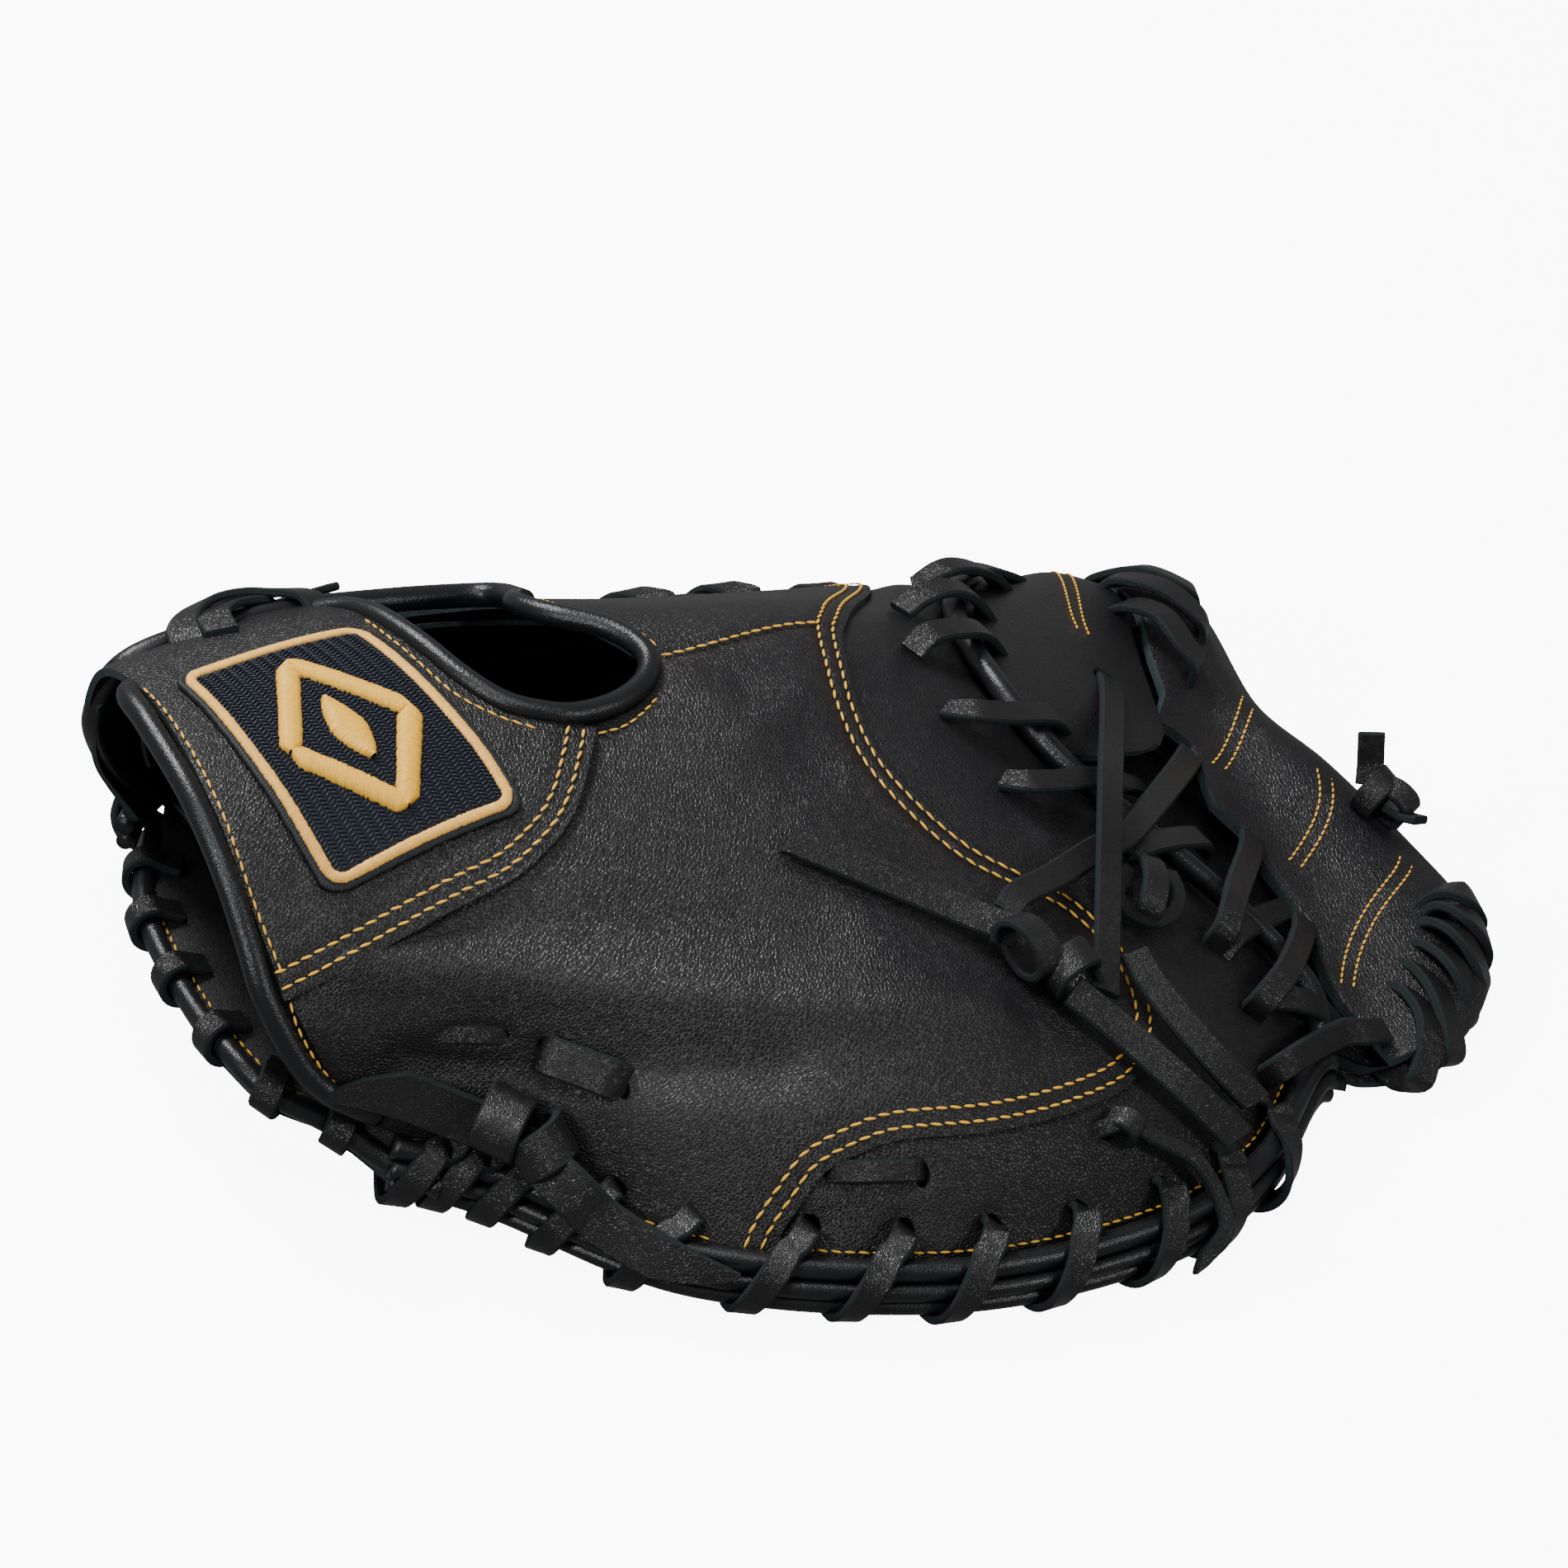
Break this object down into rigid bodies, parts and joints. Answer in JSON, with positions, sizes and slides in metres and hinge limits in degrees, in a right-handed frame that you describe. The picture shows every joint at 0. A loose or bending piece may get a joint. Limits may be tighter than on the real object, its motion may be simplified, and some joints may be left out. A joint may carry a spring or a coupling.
{
  "type": "baseball catcher's mitt",
  "caption": "Black leather catcher's mitt with laced rim, open web, wrist strap and patch, folding along the back of the pocket",
  "frame": {"origin": "on the rest plane, under the middle of the bounding box", "axes": "+X from the wrist to the web, +Y from the thumb to the little finger, +Z out of the back of the hand"},
  "size_m": [0.3304, 0.2684, 0.0969],
  "materials": {
    "shell_leather": "satin",
    "binding_leather": "satin",
    "rawhide_lace": "satin",
    "lining_leather": "matte",
    "pad_felt": "matte",
    "patch_cloth": "matte",
    "gold_thread": "satin"
  },
  "bodies": {
    "mitt": {"thumb_back_panel": "shell_leather", "thumb_tip_panel": "shell_leather", "palm_thumb_half": "shell_leather", "palm_pad_thumb": "pad_felt", "palm_lining_thumb": "lining_leather", "thumb_stall_lining": "lining_leather", "thumb_rim_binding_upper": "binding_leather", "thumb_rim_binding_lower": "binding_leather", "thumb_rim_lace": "rawhide_lace", "heel_binding": "binding_leather", "heel_lace": "rawhide_lace", "wrist_strap": "shell_leather", "wrist_binding": "binding_leather", "hand_hole_binding": "binding_leather", "strap_loop": "rawhide_lace", "patch_base": "patch_cloth", "patch_border": "gold_thread", "patch_emblem": "gold_thread", "crotch_welting": "binding_leather", "crotch_lace": "rawhide_lace", "web_wall": "shell_leather", "web_crown_band": "shell_leather", "web_crown_cord": "binding_leather", "web_lace_finger_end": "rawhide_lace", "web_lace_thumb_end": "rawhide_lace", "web_face": "shell_leather", "web_cross_lace": "rawhide_lace", "web_post_lace": "rawhide_lace", "web_diagonal_lace": "rawhide_lace", "web_knot": "rawhide_lace", "web_tail_upper": "rawhide_lace", "web_tail_lower": "rawhide_lace", "web_tail_stub": "rawhide_lace", "crown_knot": "rawhide_lace", "crown_tail": "rawhide_lace", "thumb_tie_lace": "rawhide_lace", "thumb_tie_knot": "rawhide_lace", "thumb_tie_tail": "rawhide_lace", "thumb_slot_lace_near": "rawhide_lace", "thumb_slot_lace_middle": "rawhide_lace", "thumb_slot_lace_far": "rawhide_lace"},
    "finger_half": {"finger_back_panel": "shell_leather", "finger_tip_panel": "shell_leather", "palm_finger_half": "shell_leather", "palm_pad_finger": "pad_felt", "palm_lining_finger": "lining_leather", "finger_stall_lining": "lining_leather", "finger_rim_binding_upper": "binding_leather", "finger_rim_binding_lower": "binding_leather", "finger_rim_lace": "rawhide_lace", "heel_binding_far": "binding_leather", "finger_wrist_binding": "binding_leather"}
  },
  "joints": [
    {"name": "pocket_fold", "type": "hinge", "parent": "mitt", "child": "finger_half", "pos_m": [0, 0.02482, 0.0874], "axis": [-1, 0, 0], "range_deg": [0, 12], "stiffness_Nm_per_rad": 0.6, "springref_deg": -28.65}
  ]
}
